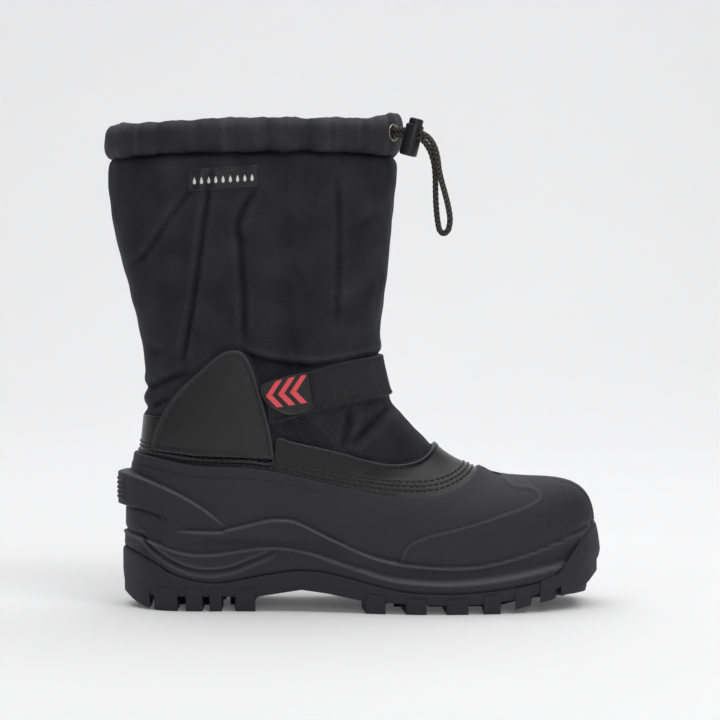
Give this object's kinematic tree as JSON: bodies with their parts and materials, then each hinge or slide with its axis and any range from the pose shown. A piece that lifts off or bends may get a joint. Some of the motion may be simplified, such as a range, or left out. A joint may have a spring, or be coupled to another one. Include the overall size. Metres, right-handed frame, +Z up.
{
  "type": "snow boot",
  "caption": "Right snow boot with a moulded rubber foot shell, lugged outsole, hollow quilted nylon shaft, instep strap and a drawcord collar with a cord lock.",
  "frame": {"origin": "on the floor, in the middle of the boot's length and width, the cord and its lock left out", "axes": "+X towards the toe, -Y towards the outer side of the right foot, +Z up"},
  "size_m": [0.3291, 0.116, 0.3253],
  "materials": {
    "outsole_rubber": "matte moulded rubber",
    "shell_rubber": "satin moulded rubber with a fine grain",
    "nylon_twill": "coated nylon twill",
    "felt": "needled felt",
    "gloss_leather": "semi-gloss coated leather",
    "matte_leather": "smooth matte leather",
    "webbing": "ribbed webbing",
    "tab_rubber": "moulded rubber tab",
    "badge_red": "red moulded rubber",
    "label_fabric": "woven satin label",
    "thread": "bonded polyester thread",
    "eyelet_metal": "dark antique brass",
    "lock_plastic": "moulded black plastic",
    "braided_cord": "braided polyester cord"
  },
  "bodies": {
    "boot": {"outsole": "outsole_rubber", "rubber_shell": "shell_rubber", "upper": "nylon_twill", "insole": "felt", "leather_band": "gloss_leather", "ankle_patch_lateral": "matte_leather", "ankle_patch_medial": "matte_leather", "collar": "nylon_twill", "strap": "webbing", "strap_tab": "tab_rubber", "eyelet": "eyelet_metal", "cord_lock_body": "lock_plastic", "drawcord": "braided_cord"},
    "lock_button": {"cord_lock_button": "lock_plastic"}
  },
  "joints": [
    {"name": "lock_press", "type": "slide", "parent": "boot", "child": "lock_button", "axis": [0.247, 0, 0.969], "range_m": [-0.003, 0], "stiffness_N_per_m": 400, "springref_m": 0.003}
  ]
}
